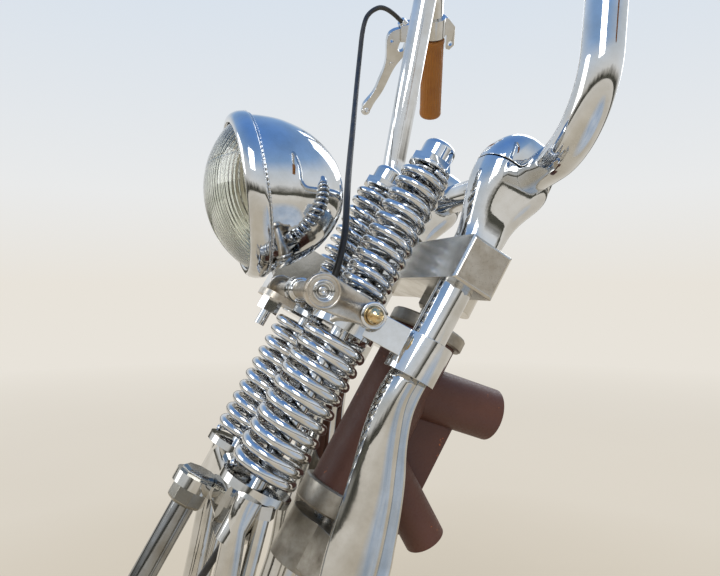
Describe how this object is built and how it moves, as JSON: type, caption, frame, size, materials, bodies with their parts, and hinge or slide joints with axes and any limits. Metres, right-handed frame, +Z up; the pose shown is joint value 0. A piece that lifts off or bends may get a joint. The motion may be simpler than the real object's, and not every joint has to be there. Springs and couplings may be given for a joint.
{
  "type": "motorcycle springer front end",
  "caption": "Springer front fork of a chopper with coil springs, rockers, high handlebar, round headlamp and brake lever, turning in its steering head.",
  "frame": {"origin": "centre of the mouth of the backbone socket on the steering head", "axes": "+X forward, +Y to the left of the motorcycle, +Z up, with the steering axis leaned back by the rake"},
  "size_m": [0.6038, 0.7826, 0.9953],
  "materials": {
    "brass": "polished brass",
    "cable_black": "black cable sleeve",
    "chrome": "bright chrome plate",
    "grey_steel": "dull grey forged steel",
    "grip_rubber": "amber-brown grip rubber",
    "lens_glass": "clear fluted glass",
    "polished_forging": "polished forged steel",
    "satin_steel": "satin machined steel",
    "steering_steel": "machined steel",
    "weathered_paint": "rusted brown-red primer"
  },
  "bodies": {
    "neck": {"lower_cup": "grey_steel", "steering_head": "weathered_paint", "upper_cup": "grey_steel"},
    "fork": {"axle": "satin_steel", "axle_nut_left": "chrome", "axle_nut_right": "chrome", "brake_cable": "cable_black", "brake_lever": "chrome", "cable_stop": "cable_black", "cross_shaft": "satin_steel", "damper": "chrome", "damper_nut": "satin_steel", "front_pivot_left": "chrome", "front_pivot_right": "chrome", "grip_left": "grip_rubber", "grip_right": "grip_rubber", "handlebar": "chrome", "inner_spring_left": "chrome", "inner_spring_right": "chrome", "lamp_bolt": "chrome", "lamp_foot": "chrome", "lamp_lens": "lens_glass", "lamp_plate": "satin_steel", "lamp_rim": "chrome", "lamp_shell": "chrome", "lever_perch": "chrome", "link_nut_left": "brass", "link_nut_right": "brass", "lock_nut": "grey_steel", "lower_crown": "grey_steel", "lower_spring_left": "chrome", "lower_spring_right": "chrome", "rear_pivot_left": "chrome", "rear_pivot_right": "chrome", "rigid_leg_left": "polished_forging", "rigid_leg_right": "polished_forging", "riser_cap_left": "chrome", "riser_cap_right": "chrome", "riser_left": "chrome", "riser_right": "chrome", "rocker_left": "chrome", "rocker_right": "chrome", "rod_nut_left": "chrome", "rod_nut_right": "chrome", "side_link_left": "satin_steel", "side_link_right": "satin_steel", "spring_bridge": "chrome", "spring_fork": "polished_forging", "spring_rod_left": "chrome", "spring_rod_right": "chrome", "steering_stem": "steering_steel", "stem_nut": "chrome", "top_clamp": "chrome", "upper_leg_left": "chrome", "upper_leg_right": "chrome", "upper_spring_left": "chrome", "upper_spring_right": "chrome"}
  },
  "joints": [
    {"name": "steering", "type": "hinge", "parent": "neck", "child": "fork", "pos_m": [0.09945, 0, 0.00895], "axis": [-0.5, 0, 0.866], "range_deg": [-30, 30]}
  ]
}
